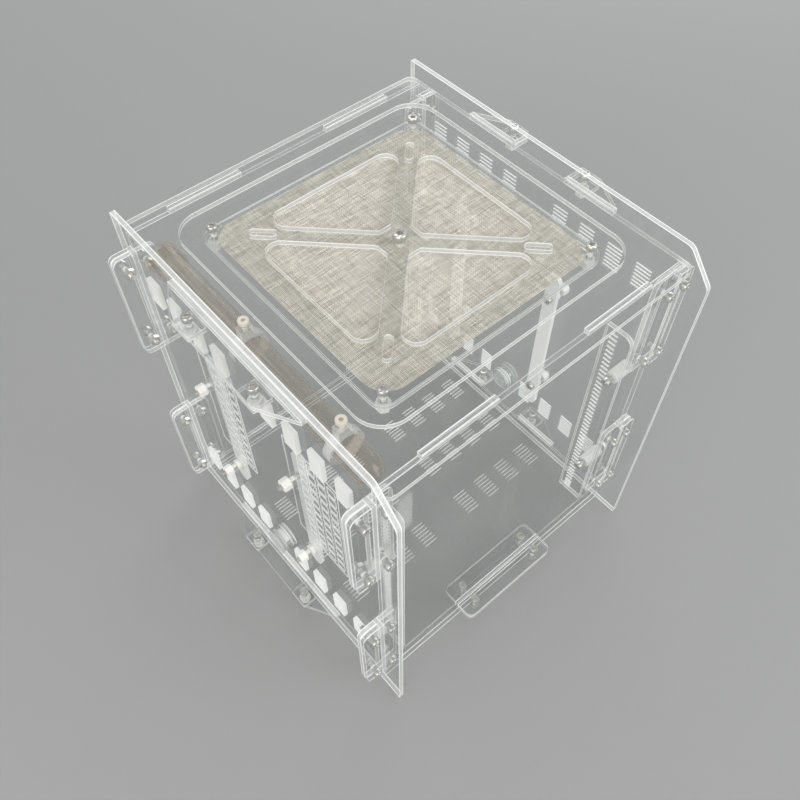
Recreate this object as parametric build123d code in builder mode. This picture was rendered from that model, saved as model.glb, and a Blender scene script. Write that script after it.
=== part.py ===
"""Clear ant habitat: a tabbed and slotted acrylic box between two tall side panels, with a
lift-off mesh lid. Millimetres, +Z up, front at -Y, origin on the table under the middle."""

import os

from build123d import *

# ------------------------------------------------------------------ driving dimensions

# Clear sheet, and the play of a tab in its slot
sheet = 3.0
slot_play = 0.1

# The box, measured between its walls
inner_width = 194.0
inner_depth = 191.5
inner_height = 218.5
floor_underside = 10.0
box_shift = 5.75                # the box stands this far behind the middle of the side panels

# Side panels, which stand proud of the box all round and carry it
side_depth = 218.0
side_rise = 9.0                 # above the top plate
corner_cut_depth = 15.5
corner_cut_height = 17.5
corner_bend = 6.0

# Top plate
top_front_overhang = 6.5
top_rear_overhang = 4.0
top_corner = 5.0

# Wedge tabs, which hold the top plate and the floor in the side panels
wedge_reach = 11.0
wedge_start = 19.5              # from the middle of the box to the tab's square edge
wedge_square = 13.5             # the stretch under the lock plate
wedge_root = 33.5
tab_corner = 1.5

# Straight tabs of the front and rear panels
panel_tab_width = 44.0
panel_tab_offset = 50.5

# Lock strips, which double the tabs of the front panel, the rear panel and the floor
strip_length = 73.0
strip_width = 25.0
strip_corner = 4.0
strip_screw_spread = 53.0
strip_screw_gap = 12.0
upper_strip_drop = 45.5         # from the top plate's underside to the strip's middle
lower_strip_height = 50.0

# Vents: groups of parallel slits
vent_pitch = 19.5
vent_margin = 12.0
slit_length = 10.0
slit_width = 1.2
slit_pitch = 2.5
slits_per_vent = 7
upper_vent_drop = 26.5
lower_vent_height = 42.0
floor_vent_rows = 3
floor_vent_row_gap = 38.5
floor_vent_shift = -7.0
end_vent_offset = 81.0
end_vent_drop = 36.5
end_slit_length = 8.0
end_slits = 12

# Slit plates: narrow uprights with a column of short slits, beside the front corners
upright_gap = 15.0              # length of the nylon spacers that hold them off the side panels
upright_width = 17.5
upright_drop = 48.5
upright_clearance = 0.4
upright_corner = 5.0
upright_slit_length = 5.0
upright_slit_width = 1.4
upright_slit_pitch = 3.6
upright_slit_inset = 3.6
upright_lower_screw = 51.0
upright_upper_screw = 143.0
spacer_flats = 7.0
spacer_gap = 0.3                # between a spacer and the lock strips in front of it

# White wall bars
bar_width = 9.0
bar_length = 123.0
bar_foot = 50.0
bar_corner = 3.5
bar_screw_inset = 18.5
rear_bar_offset = 48.0
front_bar_offset = -30.0
washer_radius = 3.5

# Climbing lattices behind the left bars
lattice_foot = 97.0
lattice_height = 93.0
lattice_pitch = 8.0
lattice_hole = 6.0
front_lattice_columns = 4
rear_lattice_columns = 3

# Feeder tube along the top of the left wall
tube_radius = 8.0
tube_wall = 1.0
tube_gap = 2.0                  # between the tube and the side panel
tube_drop = 14.5                # from the top plate's underside to the tube's axis
tube_front_gap = 8.0
tube_rear_gap = 11.5
cap_length = 11.0
cap_wall = 1.0
cap_end = 3.0
cap_ribs = 18
cap_rib_radius = 0.7
hanger_wall = 1.6
hanger_thickness = 5.0
hanger_neck = 7.0
hanger_places = (-64.0, 8.0)    # along the box, from its middle
hanger_screw_radius = 1.25
hanger_screw_depth = 7.0
hanger_head_radius = 2.75
hanger_head_height = 2.2

# Tube ports low in the side panels, with their plugs
port_radius = 6.2
port_fit = 0.08
port_collar_radius = 8.0
plug_flange = 4.0
plug_groove = 1.2
plug_stand_off = 0.3

# Lid
lid_width = 164.0
lid_corner = 16.0
lid_gap = 0.3
opening_width = 142.4
opening_corner = 8.0
frame_play = 0.7
mesh_thickness = 0.4
mesh_width = 135.0
mesh_corner = 14.0
window_reach = 56.0             # from the middle of the lid to the far side of a window
rib_width = 10.0
hub_width = 22.0
window_corner = 7.0
hub_corner = 2.5
finger_slot_length = 14.0
finger_slot_width = 4.6
finger_slot_radius = 67.6
lid_screw_inset = 5.0

# Fasteners
m3_radius = 1.5
m3_head_radius = 2.75
m3_head_height = 3.0
m3_nut_flats = 5.5
m3_nut_height = 2.4
m4_radius = 2.0
m4_head_radius = 3.5
m4_head_height = 4.0
m4_nut_flats = 7.0
m4_nut_height = 3.2
hole_play = 0.1
thread_play = 0.02
thread_end = 2.0                # how far a screw shows past its nut
nylon_nut_flats = 6.4
nylon_nut_height = 5.0

# ------------------------------------------------------------------ places worked out from them

side_inner = inner_width / 2
side_outer = side_inner + sheet
side_middle = side_inner + sheet / 2

front_inner = box_shift - inner_depth / 2
front_outer = front_inner - sheet
front_middle = front_inner - sheet / 2
rear_inner = box_shift + inner_depth / 2
rear_outer = rear_inner + sheet
rear_middle = rear_inner + sheet / 2

floor_top = floor_underside + sheet
floor_middle = floor_underside + sheet / 2
top_underside = floor_top + inner_height
top_surface = top_underside + sheet
top_middle = top_underside + sheet / 2
side_height = top_surface + side_rise

m3_hole = m3_radius + hole_play
m4_hole = m4_radius + hole_play

strip_reach = strip_width / 2 - sheet / 2
upper_strip_height = top_underside - upper_strip_drop
strip_heights = (lower_strip_height, upper_strip_height)
strip_screws_across = (side_middle - strip_screw_gap / 2, side_middle + strip_screw_gap / 2)
strip_screws_up = [
    height + way * strip_screw_spread / 2 for height in strip_heights for way in (-1, 1)
]
strip_screw_places = [
    (way * across, up) for way in (-1, 1) for across in strip_screws_across for up in strip_screws_up
]
floor_strip_screw_places = [
    (x * strip_screw_spread / 2, y * strip_screw_gap / 2) for x in (-1, 1) for y in (-1, 1)
]

wedge_screw_across = side_outer + wedge_reach / 2
wedge_screw_along = wedge_start + wedge_square / 2
wedge_screw_places = [
    (x * wedge_screw_across, y * wedge_screw_along) for x in (-1, 1) for y in (-1, 1)
]

panel_tab_places = (-panel_tab_offset, panel_tab_offset)
vents_each_side = int((inner_depth / 2 - vent_margin) / vent_pitch)
vent_offsets = [
    way * vent_pitch * (count + 1) for count in range(vents_each_side) for way in (-1, 1)
]
vent_heights = (lower_vent_height, top_underside - upper_vent_drop)
end_vent_height = top_underside - end_vent_drop

upright_inner = side_inner - upright_gap - sheet
upright_front = front_inner + upright_clearance
upright_rear = upright_front + upright_width
upright_foot = floor_top + upright_clearance
upright_top = top_underside - upright_drop
upright_screw_y = front_inner + sheet + spacer_gap + spacer_flats / 2
upright_screw_places = [
    (upright_screw_y, upright_lower_screw), (upright_screw_y, upright_upper_screw)
]

bar_inner = side_inner - 2 * sheet
bar_middle_height = bar_foot + bar_length / 2
bar_screw_heights = (bar_foot + bar_screw_inset, bar_foot + bar_length - bar_screw_inset)
bar_offsets = (rear_bar_offset, front_bar_offset)
bar_screw_places = [(box_shift + along, up) for along in bar_offsets for up in bar_screw_heights]

tube_x = -(side_inner - tube_gap - tube_radius)
tube_front = front_inner + tube_front_gap
tube_rear = rear_inner - tube_rear_gap
tube_height = top_underside - tube_drop
tube_axis = Axis((tube_x, 0, tube_height), (0, 1, 0))

frame_width = opening_width - 2 * frame_play
lid_underside = top_surface + lid_gap
lid_surface = lid_underside + sheet
mesh_underside = lid_underside - mesh_thickness
frame_underside = mesh_underside - sheet
lid_screw_offset = frame_width / 2 - lid_screw_inset
lid_screw_places = [
    (x * lid_screw_offset, y * lid_screw_offset) for x in (-1, 1) for y in (-1, 1)
]


def level(height):
    """A horizontal plane with its origin over the middle of the box."""
    return Plane((0, box_shift, height))


def places_in_rows(columns, rows):
    """Every crossing of the columns and the rows."""
    return [(column, row) for column in columns for row in rows]


def across_depth(y):
    """An upright plane across the box at depth y, facing the front."""
    return Plane.XZ.offset(-y)


# ------------------------------------------------------------------ repeated pieces


def cap_screws(
    seat,
    places,
    length,
    side=1,
    radius=m3_radius,
    head_radius=m3_head_radius,
    head_height=m3_head_height,
):
    """Cap screws: heads on the given side of the seat plane, shanks on the other."""
    with BuildPart() as screws:
        with BuildSketch(seat):
            with Locations(*places):
                Circle(head_radius)
        extrude(amount=side * head_height)
        with BuildSketch(seat):
            with Locations(*places):
                Circle(radius)
        extrude(amount=-side * length)
    return screws.part


def hex_nuts(seat, places, side=1, radius=m3_radius, flats=m3_nut_flats, height=m3_nut_height):
    """Hexagon nuts or spacers that stand on the given side of the seat plane."""
    with BuildPart() as nuts:
        with BuildSketch(seat):
            with Locations(*places):
                RegularPolygon(flats / 2, 6, major_radius=False, rotation=30)
                Circle(radius + thread_play, mode=Mode.SUBTRACT)
        extrude(amount=side * height)
    return nuts.part


def nylon_nuts(seat, places, side=1):
    """The taller white nuts, for places that are taken apart often."""
    return hex_nuts(seat, places, side, flats=nylon_nut_flats, height=nylon_nut_height)


def rings(seat, places, outer, bore, height, side=1):
    """Round washers and collars that stand on the given side of the seat plane."""
    with BuildPart() as pieces:
        with BuildSketch(seat):
            with Locations(*places):
                Circle(outer)
                Circle(bore, mode=Mode.SUBTRACT)
        extrude(amount=side * height)
    return pieces.part


def both_sides(piece):
    """The piece of the right-hand side together with its twin on the left."""
    with BuildPart() as pair:
        add(piece)
        mirror(about=Plane.YZ)
    return pair.part


def wedge_tabs():
    """Adds four wedge tabs to the open sketch of a horizontal plate, the left two joined."""
    outer_edge = side_outer + wedge_reach
    with BuildSketch(mode=Mode.PRIVATE) as tab:
        with BuildLine():
            Polyline(
                (side_inner - sheet, wedge_start),
                (outer_edge, wedge_start),
                (outer_edge, wedge_start + wedge_square),
                (side_outer, wedge_start + wedge_root),
                (side_inner - sheet, wedge_start + wedge_root),
                close=True,
            )
        make_face()
        fillet(tab.vertices().group_by(Axis.X)[-1], tab_corner)
    right = tab.sketch + mirror(tab.sketch, about=Plane.XZ)
    add(right)
    add(mirror(right, about=Plane.YZ))
    root = side_inner - sheet
    with Locations((-(root + outer_edge) / 2, 0)):
        Rectangle(outer_edge - root, 2 * (wedge_start + tab_corner))


# ------------------------------------------------------------------ side panels

with BuildPart() as right_side:
    plates = (floor_middle, top_middle)
    with BuildSketch(Plane.YZ.offset(side_inner)) as outline:
        with Locations((0, side_height / 2)):
            Rectangle(side_depth, side_height)
        with BuildLine():
            Polyline(
                (-side_depth / 2, side_height - corner_cut_height),
                (-side_depth / 2, side_height),
                (-side_depth / 2 + corner_cut_depth, side_height),
                close=True,
            )
        make_face(mode=Mode.SUBTRACT)
        front_bend = outline.vertices().group_by(Axis.X)[0].sort_by(Axis.Y)[-1]
        top_bend = outline.vertices().group_by(Axis.Y)[-1].sort_by(Axis.X)[0]
        fillet([front_bend, top_bend], corner_bend)
        wedge_middle = wedge_start + wedge_root / 2
        with Locations(*places_in_rows((box_shift - wedge_middle, box_shift + wedge_middle), plates)):
            Rectangle(wedge_root + 2 * slot_play, sheet + 2 * slot_play, mode=Mode.SUBTRACT)
        with Locations(*places_in_rows((front_inner, rear_inner), strip_heights)):
            Rectangle(2 * (sheet + slot_play), strip_length + 2 * slot_play, mode=Mode.SUBTRACT)
        vent_columns = [box_shift + offset for offset in vent_offsets]
        with Locations(*places_in_rows(vent_columns, vent_heights)):
            with GridLocations(slit_length, slit_pitch, 1, slits_per_vent):
                Rectangle(slit_length, slit_width, mode=Mode.SUBTRACT)
        with Locations((box_shift, lower_vent_height)):
            Circle(port_radius, mode=Mode.SUBTRACT)
        with Locations(*upright_screw_places, *bar_screw_places):
            Circle(m3_hole, mode=Mode.SUBTRACT)
    extrude(amount=sheet)

# On the left the slots of two wedge tabs run into one
with BuildPart() as left_side:
    add(mirror(right_side.part, about=Plane.YZ))
    with BuildSketch(Plane.YZ.offset(-side_outer)):
        with Locations(*places_in_rows([box_shift], plates)):
            Rectangle(2 * wedge_start, sheet + 2 * slot_play)
    extrude(amount=sheet, mode=Mode.SUBTRACT)

# ------------------------------------------------------------------ top plate and floor

with BuildPart() as top_plate:
    top_front = front_outer - top_front_overhang - box_shift
    top_rear = rear_outer + top_rear_overhang - box_shift
    with BuildSketch(level(top_underside)):
        with Locations((0, (top_front + top_rear) / 2)):
            RectangleRounded(inner_width, top_rear - top_front, top_corner)
        wedge_tabs()
        RectangleRounded(opening_width, opening_width, opening_corner, mode=Mode.SUBTRACT)
        panel_lines = (front_middle - box_shift, rear_middle - box_shift)
        with Locations(*places_in_rows(panel_tab_places, panel_lines)):
            Rectangle(panel_tab_width + 2 * slot_play, sheet + 2 * slot_play, mode=Mode.SUBTRACT)
        with Locations(*wedge_screw_places):
            Circle(m3_hole, mode=Mode.SUBTRACT)
        with Locations(*[(tube_x, along) for along in hanger_places]):
            Circle(hanger_screw_radius + hole_play, mode=Mode.SUBTRACT)
    extrude(amount=sheet)

with BuildPart() as floor_plate:
    floor_tab_reach = sheet + strip_reach
    front_edge = front_inner - box_shift
    with BuildSketch(level(floor_underside)):
        Rectangle(inner_width, inner_depth)
        wedge_tabs()
        with Locations((0, front_edge)):
            RectangleRounded(strip_length, 2 * floor_tab_reach, strip_corner)
        with Locations(*places_in_rows(panel_tab_places, [rear_middle - box_shift])):
            Rectangle(panel_tab_width, sheet)
        vent_rows = [
            floor_vent_shift + (row - (floor_vent_rows - 1) / 2) * floor_vent_row_gap
            for row in range(floor_vent_rows)
        ]
        with Locations(*places_in_rows(vent_offsets, vent_rows)):
            with GridLocations(slit_length, slit_pitch, 1, slits_per_vent):
                Rectangle(slit_length, slit_width, mode=Mode.SUBTRACT)
        with Locations(*wedge_screw_places):
            Circle(m3_hole, mode=Mode.SUBTRACT)
        with Locations((0, front_middle - box_shift)):
            with Locations(*floor_strip_screw_places):
                Circle(m3_hole, mode=Mode.SUBTRACT)
    extrude(amount=sheet)

# ------------------------------------------------------------------ front and rear panels


def end_panel_outline():
    """Adds the sheet with its top and side tabs to the open sketch of an upright panel."""
    with Locations((0, top_underside / 2)):
        Rectangle(inner_width, top_underside)
    with Locations(*places_in_rows(panel_tab_places, [top_middle])):
        Rectangle(panel_tab_width, sheet)
    with Locations(*places_in_rows([0], strip_heights)):
        RectangleRounded(2 * (side_outer + strip_reach), strip_length, strip_corner)
    with Locations(*strip_screw_places):
        Circle(m3_hole, mode=Mode.SUBTRACT)


with BuildPart() as front_panel:
    with BuildSketch(across_depth(front_inner)):
        end_panel_outline()
        with Locations((0, floor_top)):
            Rectangle(strip_length + 2 * slot_play, 2 * (sheet + slot_play), mode=Mode.SUBTRACT)
        with Locations(*places_in_rows((-end_vent_offset, end_vent_offset), [end_vent_height])):
            with GridLocations(end_slit_length, slit_pitch, 1, end_slits):
                Rectangle(end_slit_length, slit_width, mode=Mode.SUBTRACT)
    extrude(amount=sheet)

with BuildPart() as rear_panel:
    with BuildSketch(across_depth(rear_outer)):
        end_panel_outline()
        with Locations(*places_in_rows(panel_tab_places, [floor_middle])):
            Rectangle(panel_tab_width + 2 * slot_play, sheet + 2 * slot_play, mode=Mode.SUBTRACT)
    extrude(amount=sheet)

# ------------------------------------------------------------------ lock plates and lock strips


def lock_plates(height):
    """Four small plates beside the side panels, one under each wedge tab."""
    with BuildPart() as plates:
        with BuildSketch(level(height)):
            with Locations(*wedge_screw_places):
                Rectangle(wedge_reach - 2 * slot_play, wedge_square)
                Circle(m3_hole, mode=Mode.SUBTRACT)
        extrude(amount=sheet)
        fillet(plates.edges().filter_by(Axis.Z).filter_by(GeomType.LINE), tab_corner / 2)
    return plates.part


def strip_outline():
    """Adds one lock strip, standing on end, to the open sketch."""
    RectangleRounded(strip_width, strip_length, strip_corner)
    with GridLocations(strip_screw_gap, strip_screw_spread, 2, 2):
        Circle(m3_hole, mode=Mode.SUBTRACT)


def end_lock_strips(depth):
    """The four strips against the inner face of the front or rear panel."""
    places = [(way * side_middle, height) for way in (-1, 1) for height in strip_heights]
    with BuildPart() as strips:
        with BuildSketch(across_depth(depth)):
            for place in places:
                with Locations(place):
                    strip_outline()
        extrude(amount=sheet)
    return strips.part


top_lock_plates = lock_plates(top_underside - sheet)
floor_lock_plates = lock_plates(floor_underside - sheet)
front_lock_strips = end_lock_strips(front_inner + sheet)
rear_lock_strips = end_lock_strips(rear_inner)

with BuildPart() as floor_lock_strip:
    with BuildSketch(Plane((0, front_middle, floor_top))):
        with Locations(Location((0, 0, 0), (0, 0, 90))):
            strip_outline()
    extrude(amount=sheet)

# Screws go in from outside the box, and each nut sits on the last sheet of its stack
stack_screw = 2 * sheet + m3_nut_height + thread_end
wedge_stack_screw = 2 * sheet + nylon_nut_height + thread_end

top_lock_screws = cap_screws(level(top_surface), wedge_screw_places, wedge_stack_screw)
top_lock_nuts = nylon_nuts(level(top_underside - sheet), wedge_screw_places, side=-1)
floor_lock_screws = cap_screws(
    level(floor_top), wedge_screw_places, wedge_stack_screw - thread_end
)
floor_lock_nuts = nylon_nuts(level(floor_underside - sheet), wedge_screw_places, side=-1)

front_strip_screws = cap_screws(across_depth(front_outer), strip_screw_places, stack_screw)
front_strip_nuts = hex_nuts(across_depth(front_inner + sheet), strip_screw_places, side=-1)
rear_strip_screws = cap_screws(across_depth(rear_outer), strip_screw_places, stack_screw, side=-1)
rear_strip_nuts = hex_nuts(across_depth(rear_inner - sheet), strip_screw_places)

floor_strip_seat = Plane((0, front_middle, floor_top + sheet))
floor_nut_seat = Plane((0, front_middle, floor_underside))
floor_strip_screws = cap_screws(floor_strip_seat, floor_strip_screw_places, stack_screw)
floor_strip_nuts = hex_nuts(floor_nut_seat, floor_strip_screw_places, side=-1)

# ------------------------------------------------------------------ slit plates on their spacers

with BuildPart() as right_slit_plate:
    slit_count = int((upright_top - upright_foot - 2 * upright_slit_inset) / upright_slit_pitch) + 1
    slit_y = upright_rear - upright_slit_inset - upright_slit_length / 2
    with BuildSketch(Plane.YZ.offset(upright_inner)) as outline:
        with Locations(((upright_front + upright_rear) / 2, (upright_foot + upright_top) / 2)):
            Rectangle(upright_width, upright_top - upright_foot)
        fillet(outline.vertices().group_by(Axis.Y)[-1].sort_by(Axis.X)[0], upright_corner)
        with Locations((slit_y, (upright_foot + upright_top) / 2)):
            with GridLocations(upright_slit_length, upright_slit_pitch, 1, slit_count):
                Rectangle(upright_slit_length, upright_slit_width, mode=Mode.SUBTRACT)
        with Locations(*upright_screw_places):
            Circle(m3_hole, mode=Mode.SUBTRACT)
    extrude(amount=sheet)

left_slit_plate = mirror(right_slit_plate.part, about=Plane.YZ)

upright_screw_length = upright_gap + 2 * sheet + m3_nut_height + thread_end
upright_spacers = both_sides(
    hex_nuts(
        Plane.YZ.offset(side_inner - upright_gap),
        upright_screw_places,
        flats=spacer_flats,
        height=upright_gap,
    )
)
upright_screws = both_sides(
    cap_screws(Plane.YZ.offset(upright_inner), upright_screw_places, upright_screw_length, side=-1)
)
upright_nuts = both_sides(hex_nuts(Plane.YZ.offset(side_outer), upright_screw_places))

# ------------------------------------------------------------------ wall bars and lattices


def wall_bar(along):
    """A white bar with rounded ends that stands on the inside of the right side panel."""
    with BuildPart() as bar:
        with BuildSketch(Plane.YZ.offset(bar_inner)):
            with Locations((box_shift + along, bar_middle_height)):
                RectangleRounded(bar_width, bar_length, bar_corner)
            with Locations(*[(box_shift + along, up) for up in bar_screw_heights]):
                Circle(m3_hole, mode=Mode.SUBTRACT)
        extrude(amount=sheet)
    return bar.part


right_rear_bar = wall_bar(rear_bar_offset)
right_front_bar = wall_bar(front_bar_offset)
left_rear_bar = mirror(right_rear_bar, about=Plane.YZ)
left_front_bar = mirror(right_front_bar, about=Plane.YZ)

bar_screw_length = 3 * sheet + nylon_nut_height + thread_end
bar_screws = both_sides(
    cap_screws(Plane.YZ.offset(bar_inner), bar_screw_places, bar_screw_length, side=-1)
)
bar_nuts = both_sides(nylon_nuts(Plane.YZ.offset(side_outer), bar_screw_places))

# The lattices take the place of the washers at the upper screws of the left bars
lower_bar_places = [place for place in bar_screw_places if place[1] < lattice_foot]
with BuildPart() as bar_washers:
    add(
        rings(Plane.YZ.offset(side_inner - sheet), bar_screw_places, washer_radius, m3_hole, sheet)
    )
    add(
        rings(Plane.YZ.offset(-side_inner), lower_bar_places, washer_radius, m3_hole, sheet)
    )


def lattice(bar_offset, columns):
    """A grid sheet that is clamped behind a left bar and reaches forward from it."""
    bar_rear = box_shift + bar_offset + bar_width / 2
    rim = lattice_pitch - lattice_hole
    width = bar_width + columns * lattice_pitch + rim
    rows = int((lattice_height - rim) / lattice_pitch)
    grid_y = bar_rear - bar_width - rim - columns * lattice_pitch / 2 + rim / 2
    middle_height = lattice_foot + lattice_height / 2
    with BuildPart() as grid:
        with BuildSketch(Plane.YZ.offset(-side_inner)):
            with Locations((bar_rear - width / 2, middle_height)):
                Rectangle(width, lattice_height)
            with Locations((grid_y, middle_height)):
                with GridLocations(lattice_pitch, lattice_pitch, columns, rows):
                    Rectangle(lattice_hole, lattice_hole, mode=Mode.SUBTRACT)
            with Locations((box_shift + bar_offset, bar_screw_heights[-1])):
                Circle(m3_hole, mode=Mode.SUBTRACT)
        extrude(amount=sheet)
    return grid.part


front_lattice = lattice(front_bar_offset, front_lattice_columns)
rear_lattice = lattice(rear_bar_offset, rear_lattice_columns)

# ------------------------------------------------------------------ feeder tube

with BuildPart() as feeder_tube:
    bore = tube_radius - tube_wall
    dome = tube_front + tube_radius
    with BuildSketch(Plane.XY.offset(tube_height)):
        with BuildLine():
            Line((tube_x + bore, tube_rear), (tube_x + tube_radius, tube_rear))
            Line((tube_x + tube_radius, tube_rear), (tube_x + tube_radius, dome))
            RadiusArc((tube_x + tube_radius, dome), (tube_x, tube_front), tube_radius)
            Line((tube_x, tube_front), (tube_x, tube_front + tube_wall))
            RadiusArc((tube_x, tube_front + tube_wall), (tube_x + bore, dome), -bore)
            Line((tube_x + bore, dome), (tube_x + bore, tube_rear))
        make_face()
    revolve(axis=tube_axis)

with BuildPart() as tube_cap:
    cap_bore = tube_radius + slot_play
    cap_rear = tube_rear + slot_play + cap_end
    with BuildSketch(across_depth(cap_rear)):
        with Locations((tube_x, tube_height)):
            Circle(cap_bore + cap_wall - cap_rib_radius / 2)
            with PolarLocations(cap_bore + cap_wall - cap_rib_radius, cap_ribs):
                Circle(cap_rib_radius)
    extrude(amount=cap_length)
    with BuildSketch(across_depth(cap_rear - cap_end)):
        with Locations((tube_x, tube_height)):
            Circle(cap_bore)
    extrude(amount=cap_length, mode=Mode.SUBTRACT)

with BuildPart() as tube_hangers:
    hanger_bore = tube_radius + slot_play
    neck_height = top_underside - tube_height
    for along in hanger_places:
        with BuildSketch(across_depth(box_shift + along + hanger_thickness / 2)):
            with Locations((tube_x, tube_height)):
                Circle(hanger_bore + hanger_wall)
                with Locations((0, neck_height / 2)):
                    Rectangle(hanger_neck, neck_height)
                Circle(hanger_bore, mode=Mode.SUBTRACT)
        extrude(amount=hanger_thickness)
    with BuildSketch(level(top_underside)):
        with Locations(*[(tube_x, along) for along in hanger_places]):
            Circle(hanger_screw_radius + thread_play)
    extrude(amount=-(hanger_screw_depth - sheet), mode=Mode.SUBTRACT)

hanger_screws = cap_screws(
    level(top_surface),
    [(tube_x, along) for along in hanger_places],
    hanger_screw_depth - slot_play,
    radius=hanger_screw_radius,
    head_radius=hanger_head_radius,
    head_height=hanger_head_height,
)

# ------------------------------------------------------------------ tube ports and their plugs

port_place = [(box_shift, lower_vent_height)]
right_port_collar = rings(
    Plane.YZ.offset(side_inner - sheet), port_place, port_collar_radius, port_radius, sheet
)
left_port_collar = mirror(right_port_collar, about=Plane.YZ)

with BuildPart() as right_port_plug:
    plug_radius = port_radius - port_fit
    flange_start = side_outer + plug_stand_off
    flange_end = flange_start + plug_flange
    plug_nose = side_inner - sheet
    port_centre = (0, box_shift, lower_vent_height)
    with BuildSketch(Plane(port_centre, x_dir=(1, 0, 0), z_dir=(0, -1, 0))):
        with BuildLine():
            Polyline(
                (plug_nose, 0),
                (plug_nose, plug_radius),
                (flange_start, plug_radius),
                (flange_start, port_collar_radius),
                (flange_start + plug_flange / 3, port_collar_radius),
                (flange_start + plug_flange / 2, port_collar_radius - plug_groove),
                (flange_end - plug_flange / 3, port_collar_radius),
                (flange_end, port_collar_radius),
                (flange_end, 0),
                close=True,
            )
        make_face()
    revolve(axis=Axis(port_centre, (1, 0, 0)))

left_port_plug = mirror(right_port_plug.part, about=Plane.YZ)

# ------------------------------------------------------------------ lid


def window_cuts():
    """Cuts the four three-cornered windows, which leave the ribs of an X round a square hub."""
    far_half = window_reach - rib_width / 2 ** 0.5
    hub_half = (hub_width - 2 ** 0.5 * rib_width) / 2
    with BuildSketch(mode=Mode.PRIVATE) as window:
        with BuildLine():
            Polyline(
                (-far_half, window_reach),
                (far_half, window_reach),
                (hub_half, hub_width / 2),
                (-hub_half, hub_width / 2),
                close=True,
            )
        make_face()
        fillet(window.vertices().group_by(Axis.Y)[-1], window_corner)
        fillet(window.vertices().group_by(Axis.Y)[0], hub_corner)
    with PolarLocations(0, 4):
        add(window.sketch, mode=Mode.SUBTRACT)


with BuildPart() as lid_cover:
    with BuildSketch(level(lid_underside)):
        RectangleRounded(lid_width, lid_width, lid_corner)
        window_cuts()
        with PolarLocations(finger_slot_radius, 4, start_angle=45):
            SlotOverall(finger_slot_length, finger_slot_width, mode=Mode.SUBTRACT)
        with Locations(*lid_screw_places):
            Circle(m3_hole, mode=Mode.SUBTRACT)
        Circle(m4_hole, mode=Mode.SUBTRACT)
    extrude(amount=sheet)

with BuildPart() as lid_mesh:
    with BuildSketch(level(mesh_underside)):
        RectangleRounded(mesh_width, mesh_width, mesh_corner)
        Circle(m4_hole, mode=Mode.SUBTRACT)
    extrude(amount=mesh_thickness)

with BuildPart() as lid_clamp_frame:
    with BuildSketch(level(frame_underside)):
        RectangleRounded(frame_width, frame_width, opening_corner - frame_play)
        window_cuts()
        with Locations(*lid_screw_places):
            Circle(m3_hole, mode=Mode.SUBTRACT)
        Circle(m4_hole, mode=Mode.SUBTRACT)
    extrude(amount=sheet)

lid_stack = 2 * sheet + mesh_thickness
lid_corner_screws = cap_screws(
    level(lid_surface), lid_screw_places, lid_stack + nylon_nut_height + thread_end
)
lid_corner_nuts = nylon_nuts(level(frame_underside), lid_screw_places, side=-1)
lid_centre_screw = cap_screws(
    level(lid_surface),
    [(0, 0)],
    lid_stack + m4_nut_height + thread_end,
    radius=m4_radius,
    head_radius=m4_head_radius,
    head_height=m4_head_height,
)
lid_centre_nut = hex_nuts(
    level(frame_underside),
    [(0, 0)],
    side=-1,
    radius=m4_radius,
    flats=m4_nut_flats,
    height=m4_nut_height,
)

# ------------------------------------------------------------------ one STEP file for each node

nodes = {
    "left_side_panel": left_side.part,
    "right_side_panel": right_side.part,
    "front_panel": front_panel.part,
    "rear_panel": rear_panel.part,
    "top_plate": top_plate.part,
    "floor_plate": floor_plate.part,
    "top_lock_plates": top_lock_plates,
    "floor_lock_plates": floor_lock_plates,
    "front_lock_strips": front_lock_strips,
    "rear_lock_strips": rear_lock_strips,
    "floor_lock_strip": floor_lock_strip.part,
    "top_lock_screws": top_lock_screws,
    "top_lock_nuts": top_lock_nuts,
    "floor_lock_screws": floor_lock_screws,
    "floor_lock_nuts": floor_lock_nuts,
    "front_strip_screws": front_strip_screws,
    "front_strip_nuts": front_strip_nuts,
    "rear_strip_screws": rear_strip_screws,
    "rear_strip_nuts": rear_strip_nuts,
    "floor_strip_screws": floor_strip_screws,
    "floor_strip_nuts": floor_strip_nuts,
    "left_slit_plate": left_slit_plate,
    "right_slit_plate": right_slit_plate.part,
    "upright_spacers": upright_spacers,
    "upright_screws": upright_screws,
    "upright_nuts": upright_nuts,
    "left_rear_bar": left_rear_bar,
    "left_front_bar": left_front_bar,
    "right_rear_bar": right_rear_bar,
    "right_front_bar": right_front_bar,
    "bar_screws": bar_screws,
    "bar_nuts": bar_nuts,
    "bar_washers": bar_washers.part,
    "front_lattice": front_lattice,
    "rear_lattice": rear_lattice,
    "feeder_tube": feeder_tube.part,
    "tube_cap": tube_cap.part,
    "tube_hangers": tube_hangers.part,
    "hanger_screws": hanger_screws,
    "left_port_collar": left_port_collar,
    "right_port_collar": right_port_collar,
    "left_port_plug": left_port_plug,
    "right_port_plug": right_port_plug.part,
    "lid_cover": lid_cover.part,
    "lid_mesh": lid_mesh.part,
    "lid_clamp_frame": lid_clamp_frame.part,
    "lid_corner_screws": lid_corner_screws,
    "lid_corner_nuts": lid_corner_nuts,
    "lid_centre_screw": lid_centre_screw,
    "lid_centre_nut": lid_centre_nut,
}

os.makedirs("parts", exist_ok=True)
for name, piece in nodes.items():
    piece.label = name
    export_step(piece, f"parts/{name}.step")
    print(f"{name}: {len(piece.solids())} solids, {piece.volume / 1000:.2f} cm3")
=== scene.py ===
# %% [markdown]
# # A clear acrylic ant habitat
# The habitat is a box of thin clear sheets, tabbed and slotted into each other and held by small
# screws. Its solids come from the CAD frame. This file gives each of them its finish, and puts
# detailed pieces in the place of those whose real form is finer than a solid can say: socket
# screws with threads, chamfered nuts, turned spacers and woven wire cloth.

# %% The frame, and the box that the finished object has to keep
import math

import bmesh
import bpy
from mathutils import Matrix, Vector


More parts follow.
